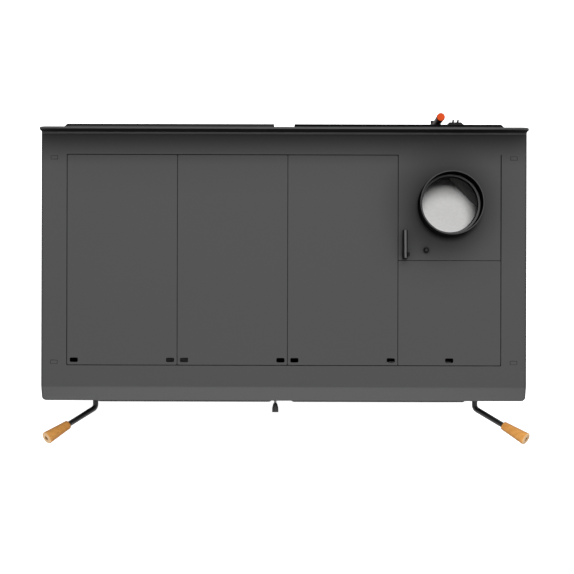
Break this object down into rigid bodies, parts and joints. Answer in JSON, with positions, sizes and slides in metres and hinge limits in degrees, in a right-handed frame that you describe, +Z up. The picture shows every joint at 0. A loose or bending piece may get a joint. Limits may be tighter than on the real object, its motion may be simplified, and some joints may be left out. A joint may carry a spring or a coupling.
{
  "type": "wood cook stove",
  "caption": "Black steel wood cook stove with a firebox, an oven, lift-out cook plates, a round flue collar and wooden handles on hinged glass doors.",
  "frame": {"origin": "on the floor, below the middle of the row of cook plates", "axes": "+X to the right seen from the front, +Y to the rear, +Z up along the flue collar"},
  "size_m": [1.2144, 0.7948, 0.913],
  "materials": {
    "cook_surface": "satin black heat-proof paint",
    "casing_black": "satin black heat-proof paint",
    "rod_black": "semi-gloss black",
    "bare_steel": "bare steel",
    "oven_steel": "stainless sheet",
    "bright_wire": "bright wire",
    "cast_iron": "as cast",
    "firebrick": "dry fired clay",
    "pale_board": "matt mineral board",
    "rope_seal": "graphited glass rope",
    "window_glass": "smoked ceramic glass",
    "lens_glass": "clear",
    "beech": "oiled",
    "knob_black": "moulded phenolic",
    "red_grip": "dipped vinyl",
    "dial_white": "matt white",
    "needle_black": "matt"
  },
  "bodies": {
    "stove_body": {"top_frame": "cook_surface", "plate_supports": "casing_black", "flue_collar": "casing_black", "flue_chamber_wall": "casing_black", "top_angles": "cook_surface", "damper_stop_bolt": "rod_black", "left_side_panel": "casing_black", "right_side_panel": "casing_black", "back_panel": "casing_black", "bottom_panel": "casing_black", "front_panel": "casing_black", "legs": "casing_black", "rear_heat_shields": "casing_black", "casing_screws": "rod_black", "hinge_pins": "bare_steel", "firebox_shell": "bare_steel", "firebox_floor": "bare_steel", "firebricks": "firebrick", "grate": "cast_iron", "ash_runners": "bare_steel", "oven_liner": "oven_steel", "oven_rack": "bright_wire", "oven_top_board": "pale_board", "cleanout_cover": "casing_black", "cleanout_knobs": "knob_black", "air_box": "bare_steel", "tool_holder": "casing_black"},
    "firebox_door": {"firebox_door_plate": "casing_black", "firebox_door_panel": "casing_black", "firebox_door_glass": "window_glass", "firebox_glass_clips": "bare_steel", "firebox_door_gasket": "rope_seal"},
    "firebox_handle": {"firebox_handle_rod": "rod_black", "firebox_handle_grip": "beech", "firebox_latch_cam": "bare_steel"},
    "oven_door": {"oven_door_plate": "casing_black", "oven_door_panel": "casing_black", "oven_door_glass": "window_glass", "oven_glass_clips": "bare_steel", "oven_door_gasket": "rope_seal", "thermometer_case": "oven_steel", "thermometer_dial": "dial_white", "thermometer_lens": "lens_glass"},
    "oven_handle": {"oven_handle_rod": "rod_black", "oven_handle_grip": "beech", "oven_latch_cam": "bare_steel"},
    "needle": {"thermometer_needle": "needle_black"},
    "ash_drawer": {"ash_tray": "bare_steel", "ash_drawer_front": "casing_black"},
    "air_register": {"air_register": "rod_black"},
    "air_control": {"air_control_knob": "knob_black", "air_control_rod": "bare_steel"},
    "damper": {"damper_lever": "rod_black", "damper_blade": "bare_steel"},
    "cook_plate_1": {"cook_plate_1": "cook_surface"},
    "cook_plate_2": {"cook_plate_2": "cook_surface"},
    "cook_plate_3": {"cook_plate_3": "cook_surface"},
    "small_cook_plate": {"small_cook_plate": "cook_surface"},
    "plate_lifter": {"lifter_rod": "bare_steel", "lifter_grip": "red_grip"}
  },
  "joints": [
    {"name": "firebox_door_hinge", "type": "hinge", "parent": "stove_body", "child": "firebox_door", "pos_m": [-0.0134, -0.313, 0.58], "axis": [0, 0, 1], "range_deg": [0, 104]},
    {"name": "firebox_latch_turn", "type": "hinge", "parent": "firebox_door", "child": "firebox_handle", "pos_m": [-0.4798, -0.304, 0.58], "axis": [0, -1, 0], "range_deg": [0, 75]},
    {"name": "oven_door_hinge", "type": "hinge", "parent": "stove_body", "child": "oven_door", "pos_m": [0.0018, -0.313, 0.58], "axis": [0, 0, 1], "range_deg": [-104, 0]},
    {"name": "oven_latch_turn", "type": "hinge", "parent": "oven_door", "child": "oven_handle", "pos_m": [0.487, -0.304, 0.58], "axis": [0, 1, 0], "range_deg": [0, 75]},
    {"name": "needle_turn", "type": "hinge", "parent": "oven_door", "child": "needle", "pos_m": [0.2287, -0.337, 0.652], "axis": [0, 1, 0], "range_deg": [0, 270]},
    {"name": "ash_drawer_slide", "type": "slide", "parent": "stove_body", "child": "ash_drawer", "axis": [0, -1, 0], "range_m": [0, 0.38]},
    {"name": "air_register_turn", "type": "hinge", "parent": "ash_drawer", "child": "air_register", "pos_m": [-0.2403, -0.337, 0.3], "axis": [0, 1, 0], "range_deg": [0, 45]},
    {"name": "air_control_slide", "type": "slide", "parent": "stove_body", "child": "air_control", "axis": [0, -1, 0], "range_m": [0, 0.025]},
    {"name": "damper_turn", "type": "hinge", "parent": "stove_body", "child": "damper", "pos_m": [0.2835, 0.0145, 0.85], "axis": [0, 0, 1], "range_deg": [-68, 0]},
    {"name": "cook_plate_1_lift", "type": "slide", "parent": "stove_body", "child": "cook_plate_1", "axis": [0, 0, 1], "range_m": [0, 0.15]},
    {"name": "cook_plate_2_lift", "type": "slide", "parent": "stove_body", "child": "cook_plate_2", "axis": [0, 0, 1], "range_m": [0, 0.15]},
    {"name": "cook_plate_3_lift", "type": "slide", "parent": "stove_body", "child": "cook_plate_3", "axis": [0, 0, 1], "range_m": [0, 0.15]},
    {"name": "small_cook_plate_lift", "type": "slide", "parent": "stove_body", "child": "small_cook_plate", "axis": [0, 0, 1], "range_m": [0, 0.15]},
    {"name": "plate_lifter_lift", "type": "slide", "parent": "stove_body", "child": "plate_lifter", "axis": [0, 0, 1], "range_m": [0, 0.25]}
  ]
}
